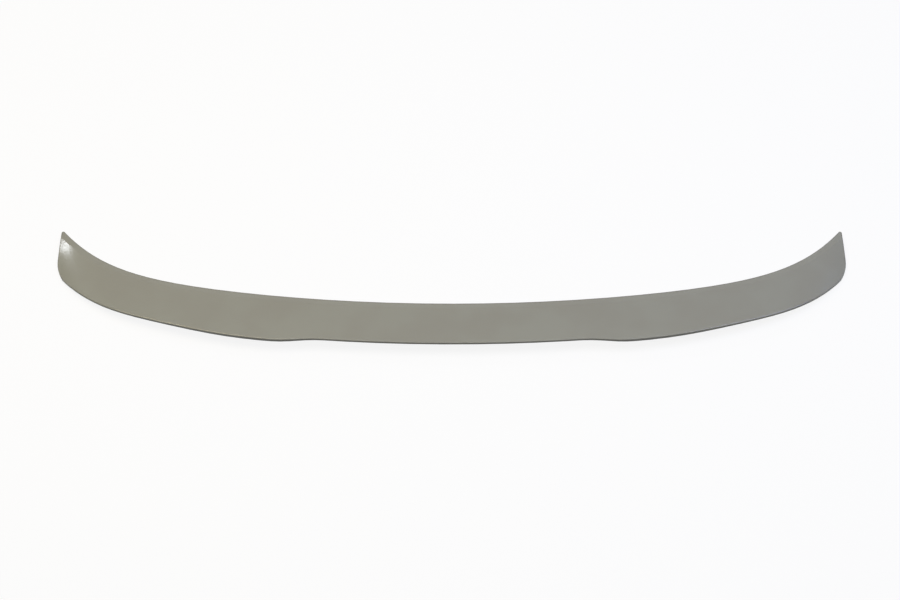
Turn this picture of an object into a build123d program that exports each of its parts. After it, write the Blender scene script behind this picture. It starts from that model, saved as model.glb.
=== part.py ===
"""Boot-lid lip spoiler: one hollow plastic moulding, ribbed underneath, fixed along a boot lid's rear edge.

X runs across the car, Y towards its front and Z up. The foot that stands on the boot lid lies on Z = 0,
and the middle of that foot is the origin.
"""
import os
from math import hypot

from build123d import *

# Plan, seen from above
overall_width = 1200.0    # across the car, end face to end face
centre_chord = 79.0       # trailing edge to leading edge on the middle line
sweep = 72.8              # how far both long edges run forward from the middle to the ends
lead_hook = 72.6          # further forward turn of the leading edge at the ends
trail_hook = 67.6         # further forward turn of the trailing edge at the ends
hook_power = 9.3          # a higher power keeps that turn closer to the ends
recess_half = 183.0       # middle line to the start of the step that ends the middle recess
step_run = 95.0           # length of that step along the trailing edge
step_depth = 7.9          # how far the wings reach behind the recess
plain_end = 107.0         # length at each end where that extra reach has run out
corner_radius = 64.0      # rounding between the trailing edge and the end faces
tip_radius = 2.4          # rounding of the forward tips

# Heights above the boot lid
nose_height = 25.0        # top of the trailing edge on the middle line
nose_height_end = 4.5     # the same at the ends
nose_power = 6            # a higher power keeps the fall closer to the ends
lead_height = 12.5        # top of the leading edge on the middle line
lead_height_end = 3.5     # the same at the ends
lead_power = 24           # the same for the leading edge
top_dip = 2.5             # hollow of the top below a straight line from front to back, on the middle line
end_crown = 2.5           # bulge of the top above that line at the ends
crown_power = 4           # a higher power keeps that bulge closer to the ends

# Edges
nose_radius = 1.7         # rounding of the top edge all round
lip_land = 4.2            # thickness of the overhanging lip on the middle line
lip_land_end = 2.6        # the same at the ends
wing_land = 1.4           # extra thickness where the wings reach furthest back
lip_overhang = 16.0       # lip beyond the foot on the middle line
cove_power = 16           # a higher power keeps the lip's run-out closer to the ends
cove_runout = 3.0         # the cove's cutter passes this far behind the trailing edge at the ends
cove_radius = 6.0         # inside corner under the lip
edge_thickness = 2.0      # thin leading edge
bevel_width = 10.0        # flat strip along the leading edge
bevel_drop = 2.5          # fall of that strip

# Hollow underside
foot_width = 5.0          # flat rear foot
rear_wall = 6.5           # wall between the cove and the hollow
wall = 3.0                # top skin
land_width = 13.0         # bonding land along the leading edge
end_solid = 60.0          # solid length at each end
hollow_count = 10
rib_thickness = 2.5

half_width = overall_width / 2
aft = -(lip_overhang + foot_width / 2)
step_end = recess_half + step_run
step_fade = half_width - plain_end - step_end
rib_pitch = (overall_width - 2 * end_solid) / hollow_count
hollow_length = rib_pitch - rib_thickness
hollow_middles = [rib_pitch * (i - (hollow_count - 1) / 2) for i in range(hollow_count)]
clear = 10.0              # how far the cutters pass beyond the body

# Sections at an even pitch, which the outline is drawn through
section_count = 49
stations = [half_width * (2 * i / (section_count - 1) - 1) for i in range(section_count)]
cut_stations = [x * (1 + clear / half_width) for x in stations]


def ease(t):
    """Smooth rise from 0 to 1 as t goes from 0 to 1."""
    t = min(max(t, 0.0), 1.0)
    return t**3 * (t * (6 * t - 15) + 10)


def along(x):
    """Share of the way from the middle line to an end."""
    return abs(x) / half_width


def wing(x):
    """How far the trailing edge has stepped back: 0 in the middle recess, 1 at the wings' fullest."""
    past = abs(x) - recess_half
    return ease(past / step_run) * (1 - ease((past - step_run) / step_fade))


def lead_y(x):
    """Leading edge in plan."""
    return aft + centre_chord + sweep * along(x) ** 2 + lead_hook * along(x) ** hook_power


def trail_y(x):
    """Trailing edge in plan."""
    return aft + sweep * along(x) ** 2 + trail_hook * along(x) ** hook_power - step_depth * wing(x)


def skew(x):
    """Stretch along Y that keeps a width true across the swept leading edge."""
    return hypot(1.0, lead_y(x + 0.5) - lead_y(x - 0.5))


def nose_z(x):
    """Top of the trailing edge."""
    return nose_height - (nose_height - nose_height_end) * along(x) ** nose_power


def lip_z(x):
    """Underside of the overhanging lip."""
    taper = (lip_land - lip_land_end) * along(x) ** nose_power
    return nose_z(x) - (lip_land + wing_land * wing(x) - taper)


def lead_z(x):
    """Top of the thin leading edge."""
    return lead_height - (lead_height - lead_height_end) * along(x) ** lead_power


def top_z(x, y):
    """Height of the top, hollowed in the middle and crowned at the ends."""
    t = (lead_y(x) - y) / (lead_y(x) - trail_y(x))
    front = lead_z(x) + bevel_drop
    dip = top_dip - (top_dip + end_crown) * along(x) ** crown_power
    return front + (nose_z(x) - front) * t - 4 * dip * t * (1 - t)


def top_curve(x, y0, y1, drop):
    """Three control points of the top, set down by drop, between two places in one section."""
    middle = (y0 + y1) / 2
    z0 = top_z(x, y0) - drop
    z1 = top_z(x, y1) - drop
    return (y0, z0), (middle, 2 * (top_z(x, middle) - drop) - (z0 + z1) / 2), (y1, z1)


def cove_y(x):
    """Rear face of the foot, under the lip; the cove runs out near the ends."""
    return trail_y(x) + (lip_overhang + cove_runout) * (1 - along(x) ** cove_power) - cove_runout


def inset_y(x, width):
    """Line a given width in front of the foot's rear face."""
    return trail_y(x) + lip_overhang * (1 - along(x) ** cove_power) + width * skew(x)


def foot_y(x):
    """Front of the foot, where the underside starts to rise."""
    return inset_y(x, foot_width)


def under_z(x, y):
    """Sloping underside between the foot and the leading edge."""
    return (lead_z(x) - edge_thickness) * (y - foot_y(x)) / (lead_y(x) - foot_y(x))


def section(x):
    """Plane square to X, with Y to the right and Z up."""
    return Plane(origin=(x, 0, 0), x_dir=(0, 1, 0), z_dir=(1, 0, 0))


# Hollows between the cross ribs, open underneath
with BuildPart() as hollows:
    for middle in hollow_middles:
        for x in [middle + hollow_length * k for k in (-0.5, -0.25, 0.0, 0.25, 0.5)]:
            front = lead_y(x) - land_width * skew(x)
            back = inset_y(x, rear_wall)
            with BuildSketch(section(x)):
                with BuildLine():
                    roof = Bezier(*top_curve(x, front, back, wall))
                    Polyline(roof @ 1, (back, -clear), (front, -clear), roof @ 0)
                make_face()
        loft()

with BuildPart() as lip_spoiler:
    # Plan outline with rounded corners, taller than the finished part
    with BuildSketch():
        with BuildLine():
            lead = Spline(*[(x, lead_y(x)) for x in stations])
            trail = Spline(*[(x, trail_y(x)) for x in stations])
            Line(lead @ 0, trail @ 0)
            Line(lead @ 1, trail @ 1)
        make_face()
        fillet(vertices().sort_by(Axis.Y)[:2], radius=corner_radius)
    extrude(amount=nose_height + clear)
    fillet(lip_spoiler.edges().filter_by(Axis.Z).sort_by(Axis.Y)[-2:], radius=tip_radius)

    # Swept top, then its rounded edge all round
    for x in cut_stations:
        front = lead_y(x) + clear
        back = trail_y(x) - clear
        above = nose_height + 2 * clear
        with BuildSketch(section(x)):
            with BuildLine():
                top = Bezier(*top_curve(x, front, back, 0.0))
                Polyline(top @ 1, (back, above), (front, above), top @ 0)
            make_face()
    loft(mode=Mode.SUBTRACT)
    fillet(lip_spoiler.faces().sort_by(Axis.Z)[-1].edges(), radius=nose_radius)

    # Bevelled strip along the leading edge
    for x in cut_stations:
        crease = lead_y(x) - bevel_width * skew(x)
        rise = (top_z(x, crease) - lead_z(x)) / (lead_y(x) - crease)
        front = (lead_y(x) + clear, lead_z(x) - rise * clear)
        back = (crease - clear, top_z(x, crease) + rise * clear)
        above = nose_height + clear
        with BuildSketch(section(x)):
            with BuildLine():
                Polyline(front, back, (back[0], above), (front[0], above), close=True)
            make_face()
    loft(mode=Mode.SUBTRACT)

    # Sloping underside in front of the foot
    for x in cut_stations:
        back = foot_y(x) - clear
        front = lead_y(x) + clear
        slope = ((back, under_z(x, back)), (front, under_z(x, front)))
        with BuildSketch(section(x)):
            with BuildLine():
                Polyline(*slope, (front, -clear), (back, -clear), close=True)
            make_face()
    loft(mode=Mode.SUBTRACT)

    # Cove under the overhanging lip
    for x in stations:
        root = cove_y(x)
        ceiling = lip_z(x)
        behind = trail_y(x) - 2 * clear
        with BuildSketch(section(x)):
            with BuildLine():
                turn = Bezier((root - cove_radius, ceiling), (root, ceiling), (root, ceiling - cove_radius))
                Polyline(turn @ 1, (root, -clear), (behind, -clear), (behind, ceiling), turn @ 0)
            make_face()
    loft(mode=Mode.SUBTRACT)

    add(hollows.part, mode=Mode.SUBTRACT)

os.makedirs("parts", exist_ok=True)
lip_spoiler.part.label = "lip_spoiler"
export_step(lip_spoiler.part, "parts/lip_spoiler.step")
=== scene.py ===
"""Lip spoiler in grey primer: its finish, the studio stage and the camera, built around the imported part."""

import math

import bpy
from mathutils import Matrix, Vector


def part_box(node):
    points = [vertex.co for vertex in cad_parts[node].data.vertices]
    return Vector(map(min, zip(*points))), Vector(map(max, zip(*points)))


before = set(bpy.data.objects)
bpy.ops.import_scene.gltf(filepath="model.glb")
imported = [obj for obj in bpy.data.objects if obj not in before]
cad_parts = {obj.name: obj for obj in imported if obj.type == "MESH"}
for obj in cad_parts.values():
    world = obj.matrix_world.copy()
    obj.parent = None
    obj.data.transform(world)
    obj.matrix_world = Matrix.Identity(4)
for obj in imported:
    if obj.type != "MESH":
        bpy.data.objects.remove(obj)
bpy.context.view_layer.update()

bl_info = {
    "name": "Lip spoiler studio",
    "version": (1, 0, 0),
    "blender": (4, 5, 0),
    "location": "View3D > Sidebar > Lip spoiler",
    "description": "Finishes a boot-lid lip spoiler in satin grey primer and sets up its stage",
    "category": "Object",
}

NODE = "lip_spoiler"
LOW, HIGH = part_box(NODE)
MM = 0.001
WHITE = (1.0, 1.0, 1.0)


def srgb(r, g, b):
    """Scene-linear colour of an sRGB colour given in 0 to 255."""
    linear = []
    for value in (r, g, b):
        c = value / 255
        linear.append(c / 12.92 if c <= 0.04045 else ((c + 0.055) / 1.055) ** 2.4)
    return tuple(linear)


def colour_setting(name, description, default):
    """Property that holds a colour."""
    return bpy.props.FloatVectorProperty(
        name=name, description=description, subtype="COLOR", min=0.0, max=1.0, default=default
    )


def length_setting(name, description, default):
    """Property that holds a length in metres."""
    return bpy.props.FloatProperty(
        name=name, description=description, subtype="DISTANCE", unit="LENGTH", precision=5, default=default
    )


def factor_setting(name, description, default):
    """Property that holds a share from 0 to 1."""
    return bpy.props.FloatProperty(
        name=name, description=description, subtype="FACTOR", min=0.0, max=1.0, default=default
    )


def power_setting(name, description, default):
    """Property that holds a lamp's power in watts."""
    return bpy.props.FloatProperty(
        name=name, description=description, unit="POWER", min=0.0, default=default
    )


class SpoilerPlan(bpy.types.PropertyGroup):
    """Outline of the moulding from above, which the painted edge shade and the overspray follow."""

    half_width: length_setting("Half width", "Middle line to an end", HIGH.x)
    chord: length_setting("Chord", "Trailing edge to leading edge on the middle line", 79.0 * MM)
    sweep: length_setting("Sweep", "How far both long edges run forward to the ends", 72.8 * MM)
    lead_hook: length_setting("Leading hook", "Further turn of the leading edge at the ends", 72.6 * MM)
    trail_hook: length_setting("Trailing hook", "Further turn of the trailing edge at the ends", 67.6 * MM)
    hook_power: bpy.props.FloatProperty(
        name="Hook power", description="A higher power keeps the turn closer to the ends", default=9.3
    )
    recess_half: length_setting("Recess half", "Middle line to the start of the step", 183.0 * MM)
    step_run: length_setting("Step run", "Length of the step along the trailing edge", 95.0 * MM)
    step_depth: length_setting("Step depth", "How far the wings reach behind the recess", 7.9 * MM)
    plain_end: length_setting("Plain end", "Length at each end where that reach has run out", 107.0 * MM)
    lip_overhang: length_setting("Lip overhang", "Lip beyond the foot", 16.0 * MM)


class SpoilerFinish(bpy.types.PropertyGroup):
    """Colours and surface of the primed moulding."""

    primer: colour_setting("Primer", "Colour of the grey primer", srgb(147, 146, 134))
    primer_light: colour_setting("Light primer", "Where the primer lies thicker", srgb(150, 150, 138))
    # Darker colour of the rim along the leading edge and the ends: painted shade of the rounded edges
    edge_shade: colour_setting("Thin primer", "Where the primer ran off a sharp edge", srgb(128, 127, 117))
    plastic: colour_setting("Bare plastic", "Colour of the unpainted underside", srgb(46, 46, 45))
    primer_roughness: factor_setting("Primer roughness", "Mean roughness of the primer", 0.17)
    roughness_spread: factor_setting("Roughness spread", "How far the primer's roughness varies", 0.03)
    plastic_roughness: factor_setting("Plastic roughness", "Roughness of the bare plastic", 0.55)
    cloud_size: length_setting("Cloud size", "Size of the patches of thicker primer", 90.0 * MM)
    rub_size: length_setting("Rub size", "Size of the patches that are a little duller", 14.0 * MM)
    spray_grain: length_setting("Spray grain", "Size of the ripples in the sprayed primer", 1.2 * MM)
    mould_grain: length_setting("Mould grain", "Size of the texture of the bare plastic", 0.5 * MM)
    grain_depth: length_setting("Grain depth", "Height of the ripples", 0.02 * MM)
    mould_depth: bpy.props.FloatProperty(
        name="Mould depth", description="Height of the plastic's texture, in ripple heights", default=2.0
    )
    grain_strength: factor_setting("Grain strength", "How strongly the ripples show", 0.25)
    # Width of that rim of painted edge shade
    edge_shade_width: length_setting("Edge thin", "Mean width of the thin primer along a sharp edge", 2.5 * MM)
    overspray: length_setting("Overspray", "Width of the primer's fade underneath", 11.0 * MM)
    speckle: length_setting("Speckle", "Size of the ragged spots in the overspray", 6.0 * MM)


class StudioStage(bpy.types.PropertyGroup):
    """Floor, light and camera."""

    floor_size: length_setting("Floor size", "Side of the square floor", 40.0)
    shadow: factor_setting("Shadow", "Share of the floor's look that the lamps light", 0.12)
    floor_bounce: factor_setting("Floor bounce", "Grey of the floor to scattered light", 0.08)
    sky_side: factor_setting("Sky at the side", "Strength of the soft light from the horizon", 0.02)
    sky_gain: factor_setting("Sky gain", "How much stronger that light is straight above", 0.2)
    overhead_power: power_setting("Overhead power", "Power of the wide lamp overhead", 31.5)
    left_power: power_setting("Left power", "Power of the warm fill at the left", 5.0)
    left_colour: colour_setting("Left colour", "Colour of the warm fill at the left", (1.0, 0.76, 0.25))
    right_power: power_setting("Right power", "Power of the cool fill at the right", 6.0)
    right_colour: colour_setting("Right colour", "Colour of the cool fill at the right", (0.3, 0.42, 1.0))
    tip_power: power_setting("Tip power", "Power of the box that the left tip mirrors", 28.5)
    tip_colour: colour_setting("Tip colour", "Colour of that box", (0.94, 0.97, 1.0))
    elevation: bpy.props.FloatProperty(
        name="Camera elevation",
        description="Height of the camera above the horizon",
        subtype="ANGLE",
        default=math.radians(55.0),
    )
    distance: length_setting("Camera distance", "Camera to the point it looks at", 3.0)
    sensor: bpy.props.FloatProperty(
        name="Sensor width", description="Sensor width in millimetres", unit="CAMERA", default=36.0
    )
    lens: bpy.props.FloatProperty(
        name="Focal length", description="Focal length in millimetres", unit="CAMERA", default=80.1
    )
    target: bpy.props.FloatVectorProperty(
        name="Camera target",
        description="Point the camera looks at",
        subtype="XYZ",
        unit="LENGTH",
        default=(-2.6 * MM, 67.5 * MM, 12.0 * MM),
    )


def add(tree, kind, **settings):
    """New node of a kind, with its settings."""
    node = tree.nodes.new(kind)
    for name, value in settings.items():
        setattr(node, name, value)
    return node


def feed(tree, socket, value):
    """Link a socket to another one, or set it to a plain value."""
    if isinstance(value, bpy.types.NodeSocket):
        tree.links.new(value, socket)
    else:
        socket.default_value = value


def calc(tree, operation, *values):
    """Result of one arithmetic step."""
    node = add(tree, "ShaderNodeMath", operation=operation)
    for socket, value in zip(node.inputs, values):
        feed(tree, socket, value)
    return node.outputs[0]


def rise(tree, value, start, end, low=0.0, high=1.0):
    """Smooth change from low to high as the value goes from start to end."""
    node = add(tree, "ShaderNodeMapRange", interpolation_type="SMOOTHERSTEP")
    inputs = {"Value": value, "From Min": start, "From Max": end, "To Min": low, "To Max": high}
    for name, part in inputs.items():
        feed(tree, node.inputs[name], part)
    return node.outputs["Result"]


def noise(tree, place, size, detail):
    """Noise value with features of about the given size in metres."""
    node = add(tree, "ShaderNodeTexNoise")
    feed(tree, node.inputs["Vector"], place)
    feed(tree, node.inputs["Scale"], 1.0 / size)
    feed(tree, node.inputs["Detail"], detail)
    return node.outputs["Fac"]


def blend(tree, kind, share, first, second):
    """Colour (RGBA) or value (FLOAT) between two others."""
    node = add(tree, "ShaderNodeMix", data_type=kind)
    feed(tree, node.inputs["Factor"], share)
    feed(tree, node.inputs["A"], first)
    feed(tree, node.inputs["B"], second)
    return node.outputs["Result"]


def split_axes(tree, vector):
    """X, Y and Z of a vector."""
    node = add(tree, "ShaderNodeSeparateXYZ")
    feed(tree, node.inputs[0], vector)
    return node.outputs


def plan_distances(tree, plan, place):
    """How far a place lies behind the leading edge, before the trailing edge and in from the nearer end."""
    x, y, _ = split_axes(tree, place)
    across = calc(tree, "ABSOLUTE", x)
    along = calc(tree, "DIVIDE", across, plan.half_width)
    swept = calc(tree, "MULTIPLY", calc(tree, "POWER", along, 2.0), plan.sweep)
    hooked = calc(tree, "POWER", along, plan.hook_power)
    from_rear = calc(tree, "SUBTRACT", calc(tree, "SUBTRACT", y, swept), LOW.y)

    lead = calc(tree, "MULTIPLY_ADD", hooked, plan.lead_hook, plan.chord)
    behind_lead = calc(tree, "SUBTRACT", lead, from_rear)

    step_end = plan.recess_half + plan.step_run
    stepped_back = rise(tree, across, plan.recess_half, step_end, 0.0, plan.step_depth)
    kept = rise(tree, across, step_end, plan.half_width - plan.plain_end, 1.0, 0.0)
    reach = calc(tree, "MULTIPLY", stepped_back, kept)
    trail = calc(tree, "MULTIPLY", hooked, plan.trail_hook)
    before_trail = calc(tree, "ADD", calc(tree, "SUBTRACT", from_rear, trail), reach)

    from_end = calc(tree, "SUBTRACT", plan.half_width, across)
    return behind_lead, before_trail, from_end


def bare_underside(tree, plan, finish, place, normal, distances):
    """Mask of the unpainted underside: 0 on primer, 1 on bare plastic, with the overspray between."""
    behind_lead, before_trail, from_end = distances
    painted_slope = 0.6    # upward share of the normal above which a face is fully painted
    bare_slope = 0.3       # the same, below which it can be bare
    foot_paint = 0.3 * MM  # the paint goes this far round the foot's rear corner
    foot_fade = 0.8 * MM   # and ends here
    end_paint = 2.0 * MM   # width of full paint under each end
    raggedness = 0.6       # share of the overspray's width by which its rim wanders

    _, _, facing_up = split_axes(tree, normal)
    hidden = rise(tree, facing_up, painted_slope, bare_slope)
    inside = rise(tree, before_trail, plan.lip_overhang + foot_paint, plan.lip_overhang + foot_fade)
    spots = noise(tree, place, finish.speckle, detail=4.0)
    wander = calc(tree, "MULTIPLY", spots, raggedness * finish.overspray)
    front = rise(tree, calc(tree, "SUBTRACT", behind_lead, wander), 0.0, finish.overspray)
    end = rise(tree, calc(tree, "SUBTRACT", from_end, wander), end_paint, finish.overspray)
    under = calc(tree, "MULTIPLY", hidden, inside)
    return calc(tree, "MULTIPLY", under, calc(tree, "MULTIPLY", front, end))


def shaded_edges(tree, finish, patches, distances):
    """Mask of painted shade along the rounded edges: 1 right at the leading edge and the ends, 0 a little
    further in.
    """
    behind_lead, _, from_end = distances
    nearest = calc(tree, "MINIMUM", behind_lead, from_end)
    # The patches average a half, so the width of the painted shade averages the set edge width
    width = calc(tree, "MULTIPLY", patches, 2.0 * finish.edge_shade_width)
    return rise(tree, nearest, width, 0.0)


def grey_primer(plan, finish):
    """Satin grey primer over dark moulded plastic, which is left bare underneath."""
    cloud_start = 0.35  # noise value at which the thicker primer starts to show
    cloud_full = 0.65   # and at which it is full

    material = bpy.data.materials.new("grey_primer")
    material.use_nodes = True
    tree = material.node_tree
    shader = tree.nodes["Principled BSDF"]
    where = add(tree, "ShaderNodeTexCoord")
    place = where.outputs["Object"]
    distances = plan_distances(tree, plan, place)
    bare = bare_underside(tree, plan, finish, place, where.outputs["Normal"], distances)
    patches = noise(tree, place, finish.rub_size, detail=3.0)

    cloud = rise(tree, noise(tree, place, finish.cloud_size, detail=2.0), cloud_start, cloud_full)
    primer = blend(tree, "RGBA", cloud, (*finish.primer, 1.0), (*finish.primer_light, 1.0))
    # Painted shade: a darker rim along the leading edge and the ends
    edge_shade_mask = shaded_edges(tree, finish, patches, distances)
    edged = blend(tree, "RGBA", edge_shade_mask, primer, (*finish.edge_shade, 1.0))
    feed(tree, shader.inputs["Base Color"], blend(tree, "RGBA", bare, edged, (*finish.plastic, 1.0)))

    smoothest = finish.primer_roughness - finish.roughness_spread / 2
    satin = calc(tree, "MULTIPLY_ADD", patches, finish.roughness_spread, smoothest)
    feed(tree, shader.inputs["Roughness"], blend(tree, "FLOAT", bare, satin, finish.plastic_roughness))

    ripple = noise(tree, place, finish.spray_grain, detail=2.0)
    pits = calc(tree, "MULTIPLY", noise(tree, place, finish.mould_grain, detail=1.0), finish.mould_depth)
    bump = add(tree, "ShaderNodeBump")
    feed(tree, bump.inputs["Strength"], finish.grain_strength)
    feed(tree, bump.inputs["Distance"], finish.grain_depth)
    feed(tree, bump.inputs["Height"], blend(tree, "FLOAT", bare, ripple, pits))
    feed(tree, shader.inputs["Normal"], bump.outputs["Normal"])
    return material


class LIP_OT_finish_spoiler(bpy.types.Operator):
    """Paint the moulding in grey primer, with its underside left as bare plastic"""

    bl_idname = "lip.finish_spoiler"
    bl_label = "Finish spoiler"

    def execute(self, context):
        scene = context.scene
        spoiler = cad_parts[NODE]
        spoiler.data.materials.clear()
        spoiler.data.materials.append(grey_primer(scene.spoiler_plan, scene.spoiler_finish))
        return {"FINISHED"}


def seen_directly(tree):
    """1 for what the camera sees, directly, mirrored or through glass, and 0 for scattered light."""
    path = add(tree, "ShaderNodeLightPath")
    mirrored = calc(tree, "MAXIMUM", path.outputs["Is Glossy Ray"], path.outputs["Is Transmission Ray"])
    return calc(tree, "MAXIMUM", path.outputs["Is Camera Ray"], mirrored)


def floor_material(stage):
    """White floor to the camera, with the object's shadow kept, and dark grey to scattered light."""
    material = bpy.data.materials.new("floor")
    material.use_nodes = True
    tree = material.node_tree
    tree.nodes.clear()
    glow = add(tree, "ShaderNodeEmission")
    lit = add(tree, "ShaderNodeBsdfDiffuse")
    feed(tree, lit.inputs["Color"], (*WHITE, 1.0))
    bounce = add(tree, "ShaderNodeBsdfDiffuse")
    feed(tree, bounce.inputs["Color"], (*[stage.floor_bounce] * 3, 1.0))
    shown = add(tree, "ShaderNodeMixShader")
    feed(tree, shown.inputs["Fac"], stage.shadow)
    feed(tree, shown.inputs[1], glow.outputs[0])
    feed(tree, shown.inputs[2], lit.outputs[0])
    choose = add(tree, "ShaderNodeMixShader")
    feed(tree, choose.inputs["Fac"], seen_directly(tree))
    feed(tree, choose.inputs[1], bounce.outputs[0])
    feed(tree, choose.inputs[2], shown.outputs[0])
    output = add(tree, "ShaderNodeOutputMaterial")
    feed(tree, output.inputs["Surface"], choose.outputs[0])
    return material


def lay_floor(context, stage):
    """Level floor under the foot."""
    bpy.ops.object.select_all(action="DESELECT")
    bpy.ops.mesh.primitive_plane_add(size=stage.floor_size, location=(0.0, 0.0, LOW.z))
    floor = context.object
    floor.name = "floor"
    floor.data.materials.append(floor_material(stage))


def build_world(scene, stage):
    """White surroundings that light the object softly, more from above than from the sides."""
    world = bpy.data.worlds.new("studio")
    scene.world = world
    world.use_nodes = True
    tree = world.node_tree
    where = add(tree, "ShaderNodeTexCoord")
    _, _, height = split_axes(tree, where.outputs["Generated"])
    above = calc(tree, "MAXIMUM", height, 0.0)
    soft = calc(tree, "MULTIPLY_ADD", above, stage.sky_gain, stage.sky_side)
    background = tree.nodes["Background"]
    feed(tree, background.inputs["Color"], (*WHITE, 1.0))
    feed(tree, background.inputs["Strength"], blend(tree, "FLOAT", seen_directly(tree), soft, 1.0))


def area_lamp(context, name, place, aim, size, power, colour):
    """Rectangular lamp at place, turned towards aim, with its size in metres and its power in watts."""
    bpy.ops.object.light_add(type="AREA", location=place)
    lamp = context.object
    lamp.name = name
    lamp.rotation_euler = (Vector(aim) - Vector(place)).to_track_quat("-Z", "Y").to_euler()
    lamp.data.shape = "RECTANGLE"
    lamp.data.size, lamp.data.size_y = size
    lamp.data.energy = power
    lamp.data.color = colour


def hang_lamps(context, stage):
    """A wide lamp overhead, two faint tinted fills, and a small box that makes the left tip's highlight."""
    area_lamp(
        context,
        "overhead",
        place=(0.0, 0.1, 2.2),
        aim=(0.0, 0.1, 0.0),
        size=(3.4, 1.4),
        power=stage.overhead_power,
        colour=WHITE,
    )
    area_lamp(
        context,
        "left_fill",
        place=(-0.8, 0.3, 1.5),
        aim=(-0.4, 0.1, 0.0),
        size=(0.8, 0.8),
        power=stage.left_power,
        colour=stage.left_colour,
    )
    area_lamp(
        context,
        "right_fill",
        place=(1.1, 0.3, 1.4),
        aim=(0.4, 0.1, 0.0),
        size=(0.8, 0.8),
        power=stage.right_power,
        colour=stage.right_colour,
    )
    area_lamp(
        context,
        "tip_box",
        place=(-2.72, 2.98, 3.0),
        aim=(-2.72, 2.98, 0.0),
        size=(0.75, 0.5),
        power=stage.tip_power,
        colour=stage.tip_colour,
    )


def place_camera(context, stage):
    """Camera behind the spoiler, looking down at it along the car."""
    target = Vector(stage.target)
    back = Vector((0.0, -math.cos(stage.elevation), math.sin(stage.elevation)))
    bpy.ops.object.camera_add(location=target + back * stage.distance)
    camera = context.object
    camera.name = "camera"
    camera.rotation_euler = (-back).to_track_quat("-Z", "Y").to_euler()
    camera.data.sensor_width = stage.sensor
    camera.data.lens = stage.lens
    context.scene.camera = camera


class LIP_OT_build_stage(bpy.types.Operator):
    """Set up the floor, the light and the camera"""

    bl_idname = "lip.build_stage"
    bl_label = "Build stage"

    def execute(self, context):
        stage = context.scene.studio_stage
        lay_floor(context, stage)
        build_world(context.scene, stage)
        hang_lamps(context, stage)
        place_camera(context, stage)
        context.scene.view_settings.view_transform = "Standard"
        return {"FINISHED"}


class LIP_PT_panel(bpy.types.Panel):
    """Lists the spoiler's settings and the steps that build it"""

    bl_idname = "LIP_PT_panel"
    bl_label = "Lip spoiler"
    bl_space_type = "VIEW_3D"
    bl_region_type = "UI"
    bl_category = "Lip spoiler"

    def draw(self, context):
        layout = self.layout
        scene = context.scene
        for group in (scene.spoiler_plan, scene.spoiler_finish, scene.studio_stage):
            for name in group.__annotations__:
                layout.prop(group, name)
        layout.operator(LIP_OT_finish_spoiler.bl_idname)
        layout.operator(LIP_OT_build_stage.bl_idname)


CLASSES = (SpoilerPlan, SpoilerFinish, StudioStage, LIP_OT_finish_spoiler, LIP_OT_build_stage, LIP_PT_panel)


def register():
    """Make the settings, the operators and the panel known to Blender."""
    for cls in CLASSES:
        bpy.utils.register_class(cls)
    bpy.types.Scene.spoiler_plan = bpy.props.PointerProperty(type=SpoilerPlan)
    bpy.types.Scene.spoiler_finish = bpy.props.PointerProperty(type=SpoilerFinish)
    bpy.types.Scene.studio_stage = bpy.props.PointerProperty(type=StudioStage)


def unregister():
    """Take them away again."""
    del bpy.types.Scene.studio_stage
    del bpy.types.Scene.spoiler_finish
    del bpy.types.Scene.spoiler_plan
    for cls in reversed(CLASSES):
        bpy.utils.unregister_class(cls)


def main():
    """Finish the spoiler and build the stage."""
    register()
    bpy.ops.lip.finish_spoiler()
    bpy.ops.lip.build_stage()


if __name__ == "__main__":
    main()
